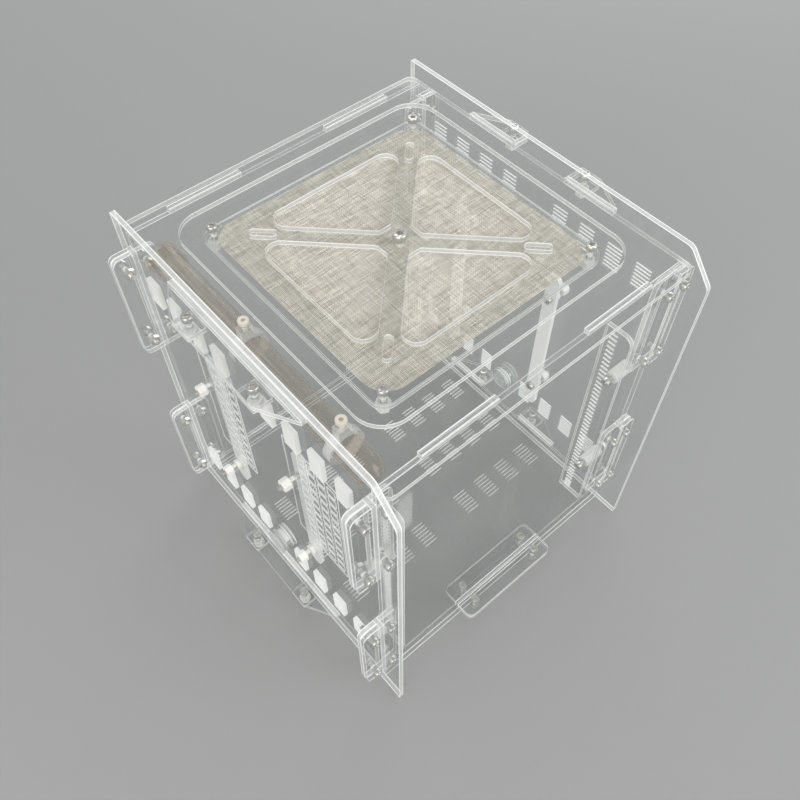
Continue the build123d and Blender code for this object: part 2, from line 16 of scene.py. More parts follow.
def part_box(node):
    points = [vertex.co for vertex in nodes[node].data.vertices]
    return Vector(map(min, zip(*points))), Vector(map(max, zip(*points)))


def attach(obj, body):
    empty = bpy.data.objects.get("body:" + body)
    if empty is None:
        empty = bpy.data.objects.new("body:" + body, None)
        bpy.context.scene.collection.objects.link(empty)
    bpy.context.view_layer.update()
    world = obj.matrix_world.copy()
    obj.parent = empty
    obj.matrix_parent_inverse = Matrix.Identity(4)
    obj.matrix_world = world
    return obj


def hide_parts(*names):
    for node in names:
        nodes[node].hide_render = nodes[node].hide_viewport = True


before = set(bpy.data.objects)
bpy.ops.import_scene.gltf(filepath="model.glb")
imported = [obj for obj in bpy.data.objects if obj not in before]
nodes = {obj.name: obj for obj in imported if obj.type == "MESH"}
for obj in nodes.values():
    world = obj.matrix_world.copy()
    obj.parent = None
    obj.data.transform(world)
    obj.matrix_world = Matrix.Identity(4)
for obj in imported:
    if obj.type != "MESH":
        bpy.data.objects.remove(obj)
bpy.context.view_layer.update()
MM = 0.001
WELD = 0.002 * MM
HAIR = 0.03 * MM

# %% [markdown]
# ## Arithmetic on node values
# A finish is a sum of small causes, such as a smear, a laser's striations or a worn edge, and a
# screw is a few rings whose radius follows a rule. A node editor draws each plus and minus as a
# node of its own. It is easier to read as arithmetic, so one small class wraps a node's output
# and turns Python's operators into Math nodes, and one method adds any other kind of node. The
# same two serve materials and geometry.


# %% A node's value, and a board of nodes
class NodeValue:
    """One output of a node. Arithmetic on it adds Math nodes to the same board."""

    def __init__(self, board, socket):
        self.board = board
        self.socket = socket

    def maths(self, operation, first, second=0.0):
        return self.board.node("ShaderNodeMath", {"operation": operation}, {0: first, 1: second})

    def __add__(self, other):
        return self.maths("ADD", self, other)

    def __radd__(self, other):
        return self.maths("ADD", other, self)

    def __sub__(self, other):
        return self.maths("SUBTRACT", self, other)

    def __rsub__(self, other):
        return self.maths("SUBTRACT", other, self)

    def __mul__(self, other):
        return self.maths("MULTIPLY", self, other)

    def __rmul__(self, other):
        return self.maths("MULTIPLY", other, self)

    def __truediv__(self, other):
        return self.maths("DIVIDE", self, other)

    def __rtruediv__(self, other):
        return self.maths("DIVIDE", other, self)

    def __mod__(self, other):
        return self.maths("MODULO", self, other)

    def __pow__(self, other):
        return self.maths("POWER", self, other)

    def __abs__(self):
        return self.maths("ABSOLUTE", self)

    def over(self, limit):
        return self.maths("GREATER_THAN", self, limit)

    def under(self, limit):
        return self.maths("LESS_THAN", self, limit)

    def cosine(self):
        return self.maths("COSINE", self)

    def sine(self):
        return self.maths("SINE", self)

    def rounded(self):
        return self.maths("ROUND", self)

    def at_most(self, limit):
        return self.maths("MINIMUM", self, limit)

    def at_least(self, limit):
        return self.maths("MAXIMUM", self, limit)


class NodeBoard:
    """A node tree under construction."""

    def __init__(self, tree):
        self.tree = tree

    def node(self, kind, settings=None, inputs=None, output=0):
        """Adds a node, sets it up, feeds its sockets and returns one of its outputs.
        The setting "items" is the number of entries of an index switch."""
        made = self.tree.nodes.new(kind)
        for name, setting in (settings or {}).items():
            if name == "items":
                while len(made.index_switch_items) < setting:
                    made.index_switch_items.new()
            else:
                setattr(made, name, setting)
        for name, value in (inputs or {}).items():
            if isinstance(value, NodeValue):
                self.tree.links.new(value.socket, made.inputs[name])
            else:
                made.inputs[name].default_value = value
        return None if output is None else NodeValue(self, made.outputs[output])


# %% A finish
class Finish(NodeBoard):
    """A material under construction."""

    def __init__(self, name):
        self.material = bpy.data.materials.new(name)
        self.material.use_nodes = True
        super().__init__(self.material.node_tree)
        self.tree.nodes.clear()

    def surface(self, shader):
        """Makes a shader the finish's surface."""
        self.node("ShaderNodeOutputMaterial", inputs={"Surface": shader}, output=None)
        return self.material

    def principled(self, **inputs):
        """The all-round shader, with its sockets named in words joined by underscores."""
        sockets = {name.replace("_", " "): value for name, value in inputs.items()}
        return self.node("ShaderNodeBsdfPrincipled", inputs=sockets)

    def place(self, scale=(1.0, 1.0, 1.0)):
        """Object coordinates, stretched by a scale for each axis."""
        place = self.node("ShaderNodeTexCoord", output="Object")
        return self.node("ShaderNodeMapping", inputs={"Vector": place, "Scale": scale})

    def noise(self, scale, detail, place=None):
        """Soft random variation between 0 and 1."""
        inputs = {"Vector": place or self.place(), "Scale": scale, "Detail": detail}
        return self.node("ShaderNodeTexNoise", inputs=inputs)

    def bump(self, height, strength, distance=0.0001):
        """A normal bent by a height."""
        inputs = {"Height": height, "Strength": strength, "Distance": distance}
        return self.node("ShaderNodeBump", inputs=inputs)

    def mix(self, share, first, second):
        """Two shaders, mixed by a share."""
        return self.node("ShaderNodeMixShader", inputs={0: share, 1: first, 2: second})

    def colour_between(self, share, first, second):
        """Two colours, mixed by a share."""
        inputs = {0: share, 6: first, 7: second}
        return self.node("ShaderNodeMix", {"data_type": "RGBA"}, inputs, output=2)

    def smooth_step(self, value, start, end):
        """A value's way from start to end as 0 to 1, eased at both."""
        settings = {"interpolation_type": "SMOOTHSTEP"}
        return self.node("ShaderNodeMapRange", settings, {0: value, 1: start, 2: end})

    def slant(self):
        """0 where a face is seen head on, and 1 where it is seen edge on."""
        return self.node("ShaderNodeLayerWeight", inputs={"Blend": 0.5}, output="Facing")

    def mirror_share(self, head_on=0.03, glancing=0.42):
        """How much of the light a clear face mirrors, by the angle it is seen at."""
        return head_on + (glancing - head_on) * self.slant() ** 5.0

    def clear(self, tint):
        """What lets light straight through, with a tint."""
        return self.node("ShaderNodeBsdfTransparent", inputs={"Color": tint})

    def gloss(self, roughness):
        """What mirrors all light."""
        return self.node("ShaderNodeBsdfGlossy", inputs={"Roughness": roughness})

    def part(self, vector, axis):
        """One coordinate of a vector."""
        return self.node("ShaderNodeSeparateXYZ", inputs={0: vector}, output=axis)


def dress(material, *names):
    """Gives a finish to CAD nodes."""
    for name in names:
        nodes[name].data.materials.clear()
        nodes[name].data.materials.append(material)
    print(material.name, "on", ", ".join(names))


# %% [markdown]
# ## Clear acrylic sheet
# Cast acrylic is so clear that its broad faces are seen only by what they mirror, which is a few
# hundredths of the light head on and far more at a glancing angle. That share stops short of a
# half here, so that what stands behind a sheet seen at a slant keeps its tone. The laser-cut
# edges are what the eye follows. They are frosted by fine striations that run through the
# sheet's thickness, and the light that the sheet gathers leaves through them, most of all at
# their two sharp rims. That glow is painted into the edges' colour, paler at the rims, as painted
# light. Glass that bends light would need dozens of bounces through this many sheets, and a sheet
# this thin hardly shifts what is behind it. So the faces are plain transparency under a mirror,
# and the edges a pale skin over it. A point is on a cut edge where the surface doesn't face along
# the sheet's thickness. Edges inside the box gather less light than those outside, so they are
# painted darker and fainter, as painted shade. A lattice is frosted only on the side where the
# laser came in, and the tube's hangers are flame polished.

# %% The finish of a clear sheet
ACRYLIC_IOR = 1.49
CLEAR_TINT = (0.993, 0.996, 0.995, 1.0)
# Edge core colours: painted shade for cuts inside the box, painted light for outer cuts.
SHADED_CORE_PAINT = (0.60, 0.62, 0.615, 1.0)
LIT_CORE_PAINT = (0.77, 0.775, 0.755, 1.0)
RIM_GLOW_PAINT = (0.98, 0.98, 0.965, 1.0)
# Inner cuts are given fainter frost than outer ones, as painted shade.
OUTER_CUT = {"core": 0.58, "rim": 0.93}
INNER_CUT = {"core": 0.3, "rim": 0.93}
LATTICE_CUT = {"core": 0.02, "rim": 0.9}
HANGER_CUT = {"core": 0.06, "rim": 0.4}
CUT_LIMIT = 0.7
RIM_SPAN = (0.4, 0.85)
LASER_SIDE_SPAN = (0.3, 0.12)
MOST_FROST = 0.97
STRIATIONS_ALONG, STRIATIONS_ACROSS = 70.0, 900.0


def clear_sheet(name, axis, cut_look, slits=None):
    """Clear acrylic for one CAD node whose thickness runs along X, Y or Z (0, 1 or 2)."""
    low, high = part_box(name)
    finish = Finish("clear_acrylic_" + name)
    place = finish.place()
    normal = finish.node("ShaderNodeTexCoord", output="Normal")
    cut = abs(finish.part(normal, axis)).under(CUT_LIMIT)
    depth = (finish.part(place, axis) - low[axis]) * (1.0 / (high[axis] - low[axis]))
    if cut_look is LATTICE_CUT:
        rim = finish.smooth_step(depth, *LASER_SIDE_SPAN)
    else:
        rim = finish.smooth_step(abs(depth * 2.0 - 1.0), *RIM_SPAN)

    stretch = [STRIATIONS_ACROSS] * 3
    stretch[axis] = STRIATIONS_ALONG
    striations = finish.noise(1.0, 3.0, finish.place(stretch))
    smears = finish.noise(9.0, 4.0)

    core_opacity, rim_opacity = cut_look["core"], cut_look["rim"]
    opacity = core_opacity + (rim_opacity - core_opacity) * rim + 0.3 * (striations - 0.5)
    # Rims are painted paler than the core: a painted glow of the light the sheet gathers.
    painted_glow = rim
    if slits:
        in_slit, slit_opacity = slit_walls(finish, place, normal, depth, axis, **slits)
        opacity = opacity * (1.0 - in_slit) + slit_opacity * in_slit
        # The walls of slits take that painted glow too.
        painted_glow = rim.at_least(in_slit)
    # Outer cuts get the painted-light core colour, all others the painted-shade one.
    core = LIT_CORE_PAINT if cut_look is OUTER_CUT else SHADED_CORE_PAINT
    frosted = finish.principled(
        Base_Color=finish.colour_between(painted_glow, core, RIM_GLOW_PAINT),
        Roughness=0.22 + 0.3 * striations,
        IOR=ACRYLIC_IOR,
        Normal=finish.bump(striations, 0.5),
    )

    clear = finish.clear(CLEAR_TINT)
    face = finish.mix(finish.mirror_share(), clear, finish.gloss(0.02 + 0.1 * smears ** 3.0))
    edge = finish.mix(opacity.at_most(MOST_FROST).at_least(0.0), clear, frosted)
    return finish.surface(finish.mix(cut, face, edge))


# %% [markdown]
# A vent is a stack of slits 1.2 mm wide, and a slit has more cut wall than opening. The laser
# enters a slit's wall on one side of the sheet and leaves it on the other, and only the side
# where it enters is frosted. The wall below a slit is the one that light falls on, so it is
# painted frosted and pale, as painted light, and the wall above is left nearly clear unless a
# vent asks for more. So each slit shows as one bright bar, and the bars of a vent stay apart. A
# slit's two walls are told apart by where they lie in the pitch, since their normals turn over
# when they are seen from behind.


# %% The walls of slits
ROWS_BEHIND = 20.5  # whole rows and a half, which keep every remainder above zero
WALL_SHEEN = 0.05


def slit_walls(finish, place, normal, depth, axis, area, row, row_gap, pitch, band, laser_way,
               upper=0.0, frost=0.95):
    """Where the walls of slits are, and how frosted they are.
    area has the corners of the stretch with slits in it. A slit's middle is at row, the next
    is a pitch away, and the next row a row_gap. The laser came in from the low side of the
    axis (laser_way -1) or the high side (1), and band is the share of the thickness that it
    frosted. upper says how frosted the walls above slits are, and frost how frosted all are."""
    inside = 1.0
    for other in {0, 1, 2} - {axis}:
        along = finish.part(place, other)
        inside = along.over(area[0][other]) * along.under(area[1][other]) * inside
    stacked = 1 if axis == 2 else 2
    across = finish.part(place, stacked) * (1.0 / MM)
    long_wall = abs(finish.part(normal, stacked)).over(0.5)
    in_row = (across - row + ROWS_BEHIND * row_gap) % row_gap - 0.5 * row_gap
    in_pitch = (in_row + ROWS_BEHIND * pitch) % pitch
    # Painted light: the wall below each slit, which light falls on, is the one painted frosted.
    lower_wall = in_pitch.under(0.5 * pitch)
    stripe = depth.under(band) if laser_way < 0 else depth.over(1.0 - band)
    return inside, WALL_SHEEN + frost * lower_wall.at_least(upper) * stripe * long_wall


def slit_area(name, front=0.0, rear=0.0, side=0.0, foot=0.0, top=0.0):
    """The corners of a node's box, drawn in by margins in millimetres."""
    low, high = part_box(name)
    return low + Vector((side, front, foot)) * MM, high - Vector((side, rear, top)) * MM


# %% Clear acrylic on every sheet
SIDE_VENT = {"row": 42.0, "row_gap": 163.0, "pitch": 2.5}
SIDE_AREA = {"front": 28.0, "rear": 16.0, "foot": 16.0, "top": 16.0}
FLOOR_VENT = {"row": -39.75, "row_gap": 38.5, "pitch": 2.5, "band": 0.6, "laser_way": 1}
FLOOR_AREA = {"front": 22.0, "rear": 10.0, "side": 18.0}
UPRIGHT = {"row": 96.4, "row_gap": 360.0, "pitch": 3.6, "band": 0.42, "laser_way": -1}
UPRIGHT_AREA = {"front": 2.0, "rear": 2.0, "foot": 3.0, "top": 3.0}
END_VENT = {"row": 181.25, "row_gap": 400.0, "pitch": 2.5, "band": 0.22, "frost": 0.12}
END_AREA = {"side": 20.0, "foot": 178.0, "top": 10.0}
SLITS = {
    "left_side_panel": (SIDE_AREA, {**SIDE_VENT, "band": 0.9, "laser_way": -1, "upper": 0.9}),
    "right_side_panel": (SIDE_AREA, {**SIDE_VENT, "band": 0.36, "laser_way": 1}),
    "floor_plate": (FLOOR_AREA, FLOOR_VENT),
    "left_slit_plate": (UPRIGHT_AREA, UPRIGHT),
    "right_slit_plate": (UPRIGHT_AREA, UPRIGHT),
    "front_panel": (END_AREA, {**END_VENT, "laser_way": -1}),
    "rear_panel": (END_AREA, {**END_VENT, "laser_way": 1}),
}
SHEETS = {
    0: {"left_side_panel": OUTER_CUT, "right_side_panel": OUTER_CUT, "left_slit_plate": OUTER_CUT,
        "right_slit_plate": OUTER_CUT, "front_lattice": LATTICE_CUT, "rear_lattice": LATTICE_CUT,
        "left_port_collar": INNER_CUT, "right_port_collar": INNER_CUT},
    1: {"front_panel": INNER_CUT, "rear_panel": INNER_CUT, "front_lock_strips": OUTER_CUT,
        "rear_lock_strips": OUTER_CUT, "tube_hangers": HANGER_CUT},
    2: {"top_plate": OUTER_CUT, "floor_plate": INNER_CUT, "top_lock_plates": OUTER_CUT,
        "floor_lock_plates": OUTER_CUT, "floor_lock_strip": OUTER_CUT, "lid_cover": OUTER_CUT,
        "lid_clamp_frame": INNER_CUT},
}
for axis, sheets in SHEETS.items():
    for sheet_name, cut_look in sheets.items():
        slits = None
        if sheet_name in SLITS:
            margins, vent = SLITS[sheet_name]
            slits = {"area": slit_area(sheet_name, **margins), **vent}
        dress(clear_sheet(sheet_name, axis, cut_look, slits), sheet_name)

# %% [markdown]
# ## Milky bars and white nylon
# The wall bars are cut from opal sheet: light sinks in and comes out softened, and the surface
# keeps its polish. The spacers, washers and light nuts are cream white nylon, duller, with the
# faint grain that a moulded part has. The hangers' screws are nylon too, yellowed with age.


# %% Milky acrylic and nylon
def milky_acrylic():
    """Polished opal sheet."""
    finish = Finish("milky_acrylic")
    clouds = finish.noise(60.0, 3.0)
    return finish.surface(finish.principled(
        Base_Color=(0.93, 0.925, 0.905, 1.0),
        Roughness=0.16 + 0.14 * clouds,
        IOR=ACRYLIC_IOR,
        Specular_IOR_Level=0.25,
        Normal=finish.bump(clouds, 0.08, 0.0004),
    ))


def nylon(name, dull, bright):
    """Nylon with a fine grain, blotched between two tones."""
    finish = Finish(name)
    grain = finish.noise(1500.0, 3.0)
    blotches = finish.noise(180.0, 2.0)
    return finish.surface(finish.principled(
        Base_Color=finish.colour_between(blotches, dull, bright),
        Roughness=0.34 + 0.2 * grain,
        Normal=finish.bump(grain, 0.15),
    ))


NYLON = nylon("white_nylon", (0.88, 0.86, 0.80, 1.0), (0.95, 0.94, 0.91, 1.0))
AGED_NYLON = nylon("aged_nylon", (0.60, 0.55, 0.45, 1.0), (0.78, 0.74, 0.66, 1.0))
print(NYLON.name, AGED_NYLON.name)

# %% [markdown]
# Two of the bars are clamped flat against clear sheet, where the faces of both lie at the very
# same place. A ray that has just passed a clear face can miss the one that touches it, and then
# the bar is gone. So each bar is drawn in by a hair from its solid, in a copy of its mesh that
# is made smaller about its middle. The floor has the same trouble where its front and rear ends
# butt against the panels.


# %% Pieces drawn in by a hair
def draw_in(names, material):
    """Copies of housing nodes, made smaller so that each side lies inside the solid's."""
    for name in names:
        low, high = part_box(name)
        middle = (low + high) * 0.5
        share = [1.0 - 2.0 * HAIR / (high[k] - low[k]) for k in range(3)]
        skin = nodes[name].data.copy()
        skin.name = "seated_" + name
        shape = bmesh.new()
        shape.from_mesh(skin)
        bmesh.ops.remove_doubles(shape, verts=shape.verts, dist=WELD)
        for vertex in shape.verts:
            for k in range(3):
                vertex.co[k] = middle[k] + (vertex.co[k] - middle[k]) * share[k]
        shape.to_mesh(skin)
        shape.free()
        skin.materials.clear()
        skin.materials.append(material)
        skin.shade_flat()
        piece = bpy.data.objects.new("seated_" + name, skin)
        bpy.context.scene.collection.objects.link(piece)
        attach(piece, "housing")
        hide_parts(name)
        print(piece.name, len(skin.polygons), "faces")


BARS = ("left_rear_bar", "left_front_bar", "right_rear_bar", "right_front_bar")
draw_in(BARS, milky_acrylic())
draw_in(["floor_plate"], nodes["floor_plate"].data.materials[0])


# %% [markdown]
# ## Steel
# The screws and the thin nuts are plain stainless steel, a metal whose roughness wanders from
# tumbling and handling.


# %% Steel
def stainless(name):
    """Stainless steel, between bright and brushed."""
    finish = Finish(name)
    wander = finish.noise(500.0, 3.0)
    return finish.surface(finish.principled(
        Base_Color=(0.84, 0.83, 0.80, 1.0),
        Metallic=1.0,
        Roughness=0.24 + 0.22 * wander,
        Normal=finish.bump(wander, 0.05),
    ))


STEEL = stainless("screw_steel")
print(STEEL.name)


# %% [markdown]
# ## The feeder tube, its cap and the port plugs
# The tube and its ribbed cap are thin clear plastic with a warm tint, streaked along their
# length from being drawn. A round wall has no cut faces to pick out, and its tint deepens
# towards its sides, where it is seen edge on. The plugs are cloudy silicone, which lets light in
# but no picture through.


# %% Tinted tube plastic and cloudy silicone
TUBE_TINT = (0.965, 0.952, 0.93, 1.0)
TUBE_DARK, TUBE_PALE = (0.33, 0.28, 0.22, 1.0), (0.86, 0.81, 0.72, 1.0)
SILICONE_TINT = (0.9, 0.915, 0.905, 1.0)
SILICONE_DULL, SILICONE_DUSTY = (0.56, 0.58, 0.56, 1.0), (0.82, 0.83, 0.81, 1.0)


def tube_plastic():
    """Clear plastic with a warm tint and drawn streaks, darker where it is seen edge on."""
    finish = Finish("tube_plastic")
    streaks = finish.noise(1.0, 3.0, finish.place((420.0, 9.0, 420.0)))
    grain = finish.noise(1.0, 2.0, finish.place((800.0, 14.0, 800.0)))
    pale = finish.smooth_step(grain, 0.45, 0.62)
    skin = finish.principled(
        Base_Color=finish.colour_between(pale, TUBE_DARK, TUBE_PALE), Roughness=0.3
    )
    drawn = (streaks - 0.5).at_least(0.0)
    opacity = 0.01 + 1.25 * drawn + 0.38 * finish.slant() ** 4.0
    body = finish.mix(opacity, finish.clear(TUBE_TINT), skin)
    gloss = finish.gloss(0.05 + 0.08 * streaks)
    return finish.surface(finish.mix(finish.mirror_share(), body, gloss))


def cloudy_silicone():
    """Soft clear rubber with a dusty bloom."""
    finish = Finish("port_plug")
    bloom = finish.noise(250.0, 4.0)
    skin = finish.principled(
        Base_Color=finish.colour_between(bloom, SILICONE_DULL, SILICONE_DUSTY),
        Roughness=0.3 + 0.3 * bloom,
        Normal=finish.bump(bloom, 0.2),
    )
    return finish.surface(finish.mix(0.35 + 0.3 * bloom, finish.clear(SILICONE_TINT), skin))


dress(tube_plastic(), "feeder_tube", "tube_cap")
dress(cloudy_silicone(), "left_port_plug", "right_port_plug")

# %% [markdown]
# ## Recipes for pieces that repeat
# Some sixty screws and as many nuts differ only in their sizes. A geometry node tree is a recipe
# for them: its named inputs are the sizes, and it sets one finished piece at each point of a
# small mesh of places, turned as that place says. What the tree makes is then turned into a plain
# mesh, because an exported file keeps no instances.


# %% A recipe
SHARP_ANGLE = math.radians(40.0)


class Recipe(NodeBoard):
    """A geometry node tree with named inputs, which makes one piece at each of many places."""

    def __init__(self, name, sizes):
        super().__init__(bpy.data.node_groups.new(name, "GeometryNodeTree"))
        face = self.tree.interface
        face.new_socket("Places", in_out="INPUT", socket_type="NodeSocketGeometry")
        for size in sizes:
            face.new_socket(size, in_out="INPUT", socket_type="NodeSocketFloat")
        face.new_socket("Finish", in_out="INPUT", socket_type="NodeSocketMaterial")
        face.new_socket("Pieces", in_out="OUTPUT", socket_type="NodeSocketGeometry")
        self.entry = self.tree.nodes.new("NodeGroupInput")

    def size(self, name):
        """The value of a named input."""
        return NodeValue(self, self.entry.outputs[name])

    def whole_number(self, value):
        """A value rounded to an integer."""
        return self.node("FunctionNodeFloatToInt", inputs={0: value})

    def part_of_place(self, axis):
        """One coordinate of the point in hand."""
        place = self.node("GeometryNodeInputPosition")
        return self.node("ShaderNodeSeparateXYZ", inputs={0: place}, output=axis)

    def point(self, x, y, z):
        """Three values as a vector."""
        return self.node("ShaderNodeCombineXYZ", inputs={0: x, 1: y, 2: z})

    def unit_grid(self, columns, rows):
        """A flat grid, one metre square, from -0.5 to 0.5 both ways."""
        sizes = {"Size X": 1.0, "Size Y": 1.0, "Vertices X": columns, "Vertices Y": rows}
        return self.node("GeometryNodeMeshGrid", inputs=sizes)

    def moved(self, shape, x, y, z):
        """A shape with its points put where three values say."""
        inputs = {"Geometry": shape, "Position": self.point(x, y, z)}
        return self.node("GeometryNodeSetPosition", inputs=inputs)

    def welded(self, shape):
        """A shape with its points at one place made one."""
        inputs = {"Geometry": shape, "Distance": WELD}
        return self.node("GeometryNodeMergeByDistance", inputs=inputs)

    def joined(self, *shapes):
        """Several shapes as one."""
        made = self.tree.nodes.new("GeometryNodeJoinGeometry")
        for shape in reversed(shapes):
            self.tree.links.new(shape.socket, made.inputs[0])
        return NodeValue(self, made.outputs[0])

    def set_at_places(self, shape):
        """One copy of a shape at each place, turned as its attribute says."""
        settings = {"data_type": "FLOAT_VECTOR"}
        turn = self.node("GeometryNodeInputNamedAttribute", settings, {"Name": "turn"})
        rotation = self.node("FunctionNodeEulerToRotation", inputs={0: turn})
        inputs = {"Points": self.size("Places"), "Instance": shape, "Rotation": rotation}
        return self.node("GeometryNodeInstanceOnPoints", inputs=inputs)

    def serve(self, shape):
        """Ends the tree: real geometry, with its finish."""
        real = self.node("GeometryNodeRealizeInstances", inputs={"Geometry": shape})
        inputs = {"Geometry": real, "Material": self.size("Finish")}
        dressed = self.node("GeometryNodeSetMaterial", inputs=inputs)
        self.node("NodeGroupOutput", inputs={"Pieces": dressed}, output=None)

    def make(self, name, places, sizes, material):
        """Runs the recipe on a mesh of places, and returns an object with a plain mesh."""
        piece = bpy.data.objects.new(name, places)
        bpy.context.scene.collection.objects.link(piece)
        run = piece.modifiers.new("recipe", "NODES")
        run.node_group = self.tree
        values = {**sizes, "Finish": material}
        for socket in self.tree.interface.items_tree:
            if socket.name in values:
                run[socket.identifier] = values[socket.name]
        graph = bpy.context.evaluated_depsgraph_get()
        made = bpy.data.meshes.new_from_object(piece.evaluated_get(graph))
        piece.modifiers.clear()
        made.name = name
        made.shade_smooth()
        made.set_sharp_from_angle(angle=SHARP_ANGLE)
        piece.data = made
        return piece


# %% [markdown]
# ## Shapes of revolution from a grid
# A screw head, a nut and a spacer are all turned on one axis, apart from hexagons, knurls and the
# cone that trims a nut's corners. So one grid serves them: its columns go round the axis and its
# rows are rings. A ring is given by its radius and height, and by how much of a hexagon it is.
# Rings listed from the bottom's middle outwards, up and back in give a skin that faces outwards.

# %% Rings round an axis
HEXAGON_CORNER = 2.0 / 3.0 ** 0.5 - 1.0  # a corner's reach past the flats
ROWS_PER_THREAD = 5.0
THREAD_DEPTH = 0.28  # half a groove's depth, as a share of the pitch


def turned(recipe, sides, rings):
    """A skin through rings: (radius, height, hexagon share, corner rise, knurl depth)."""
    rings = [tuple(ring) + (0.0,) * (5 - len(ring)) for ring in rings]
    row = recipe.whole_number((recipe.part_of_place(1) + 0.5) * (len(rings) - 1.0))
    column = ((recipe.part_of_place(0) + 0.5) * float(sides)).rounded()

    def by_row(measure):
        values = [ring[measure] for ring in rings]
        if not any(values):
            return 0.0
        settings = {"data_type": "FLOAT", "items": len(rings)}
        inputs = {"Index": row}
        inputs.update({str(count): value for count, value in enumerate(values)})
        return recipe.node("GeometryNodeIndexSwitch", settings, inputs)

    turn = column * (2.0 * math.pi / sides)
    off_flat = (turn + math.pi / 6.0) % (math.pi / 3.0) - math.pi / 6.0
    corner = 1.0 / off_flat.cosine() - 1.0
    radius = by_row(0) * (1.0 + corner * by_row(2)) * (1.0 - (column % 2.0) * by_row(4))
    height = by_row(1) + corner * by_row(3) * (1.0 / HEXAGON_CORNER)
    grid = recipe.unit_grid(sides + 1, len(rings))
    return recipe.welded(recipe.moved(grid, radius * turn.cosine(), radius * turn.sine(), height))


def threaded_rod(recipe, sides, radius, length, pitch):
    """A rod under the seat with a helical ridge. Its first and last rows of points lie on the
    axis, which closes its ends."""
    rows = recipe.whole_number(length / pitch * ROWS_PER_THREAD + 4.0)
    turn = ((recipe.part_of_place(0) + 0.5) * float(sides)).rounded() * (2.0 * math.pi / sides)
    row = ((recipe.part_of_place(1) + 0.5) * (rows - 1.0)).rounded()
    along = ((row - 1.0) / (rows - 3.0)).at_least(0.0).at_most(1.0)
    height = (along - 1.0) * length
    ridge = (height / pitch * (2.0 * math.pi) - turn).cosine()
    inside = row.over(0.5) * row.under(rows - 1.5)
    outer = (radius - pitch * THREAD_DEPTH * (1.0 - ridge)) * inside
    grid = recipe.unit_grid(sides + 1, rows)
    return recipe.welded(recipe.moved(grid, outer * turn.cosine(), outer * turn.sine(), height))


# %% [markdown]
# ## Socket screws and nuts
# A cap screw's head is a short knurled cylinder with a bevelled top and a hexagonal socket. A
# nut is a hexagon whose corners are trimmed by a cone at both ends, with a bevelled bore. Long
# nylon spacers are the same hexagon, drawn out, and a washer is a plain ring with soft rims. Each
# would lie exactly on the sheet under it, so its faces stand off by a hair, as the bars' do.

# %% Recipes for fasteners
BEVEL = 0.15 * MM
screw_recipe = Recipe(
    "cap_screw",
    ("Head radius", "Head height", "Socket width", "Shank radius", "Shank length", "Pitch"),
)
head_radius = screw_recipe.size("Head radius")
head_height = screw_recipe.size("Head height")
socket_radius = screw_recipe.size("Socket width") * 0.5
socket_floor = head_height * 0.42
cap_head = turned(screw_recipe, 48, [
    (0.0, HAIR),
    (head_radius * 0.95, HAIR),
    (head_radius, head_height * 0.05, 0.0, 0.0, 0.035),
    (head_radius, head_height * 0.84, 0.0, 0.0, 0.035),
    (head_radius * 0.97, head_height * 0.91),
    (head_radius * 0.88, head_height),
    (socket_radius * 1.2, head_height),
    (socket_radius, head_height * 0.95, 1.0),
    (socket_radius, socket_floor, 1.0),
    (0.0, socket_floor * 0.8),
])
rod = threaded_rod(
    screw_recipe, 12, screw_recipe.size("Shank radius"), screw_recipe.size("Shank length"),
    screw_recipe.size("Pitch"),
)
screw_recipe.serve(screw_recipe.set_at_places(screw_recipe.joined(cap_head, rod)))

nut_recipe = Recipe("hexagon_nut", ("Flats", "Height", "Bore radius"))
nut_radius = nut_recipe.size("Flats") * 0.5
nut_height = nut_recipe.size("Height")
bore = nut_recipe.size("Bore radius")
nut_end = nut_height - HAIR
nut_recipe.serve(nut_recipe.set_at_places(turned(nut_recipe, 24, [
    (bore + BEVEL, HAIR),
    (nut_radius * 0.95, HAIR),
    (nut_radius, nut_radius * 0.03, 1.0, nut_radius * 0.09),
    (nut_radius, nut_height - nut_radius * 0.03, 1.0, nut_radius * -0.09),
    (nut_radius * 0.95, nut_end),
    (bore + BEVEL, nut_end),
    (bore, nut_end - BEVEL),
    (bore, BEVEL),
    (bore + BEVEL, HAIR),
])))

ring_recipe = Recipe("plain_ring", ("Radius", "Height", "Bore radius"))
ring_radius = ring_recipe.size("Radius")
ring_end = ring_recipe.size("Height") - HAIR
ring_bore = ring_recipe.size("Bore radius")
ring_recipe.serve(ring_recipe.set_at_places(turned(ring_recipe, 32, [
    (ring_bore, HAIR),
    (ring_radius - BEVEL, HAIR),
    (ring_radius, HAIR + BEVEL),
    (ring_radius, ring_end - BEVEL),
    (ring_radius - BEVEL, ring_end),
    (ring_bore, ring_end),
    (ring_bore, HAIR),
])))
print("recipes:", ", ".join(each.tree.name for each in (screw_recipe, nut_recipe, ring_recipe)))

# %% [markdown]
# A fastener's place is where its seat is, and its turn points its axis. Flats of hexagons lie
# where the CAD solids have them, so a detailed nut fills the very space of its solid. The places
# are written in millimetres, as they would be marked out on the sheets. Each stack starts from a
# sheet's face and adds up the sheets, washers and spacers between it and the screw's seat. On
# the left, the lattices take the place of the bars' upper washers.

# %% Places of the fasteners
FLAT_TOWARDS = {"X": (0, 1, 0), "Y": (1, 0, 0), "Z": (1, 0, 0)}
POINTING = {"X": (1, 0, 0), "Y": (0, 1, 0), "Z": (0, 0, 1)}


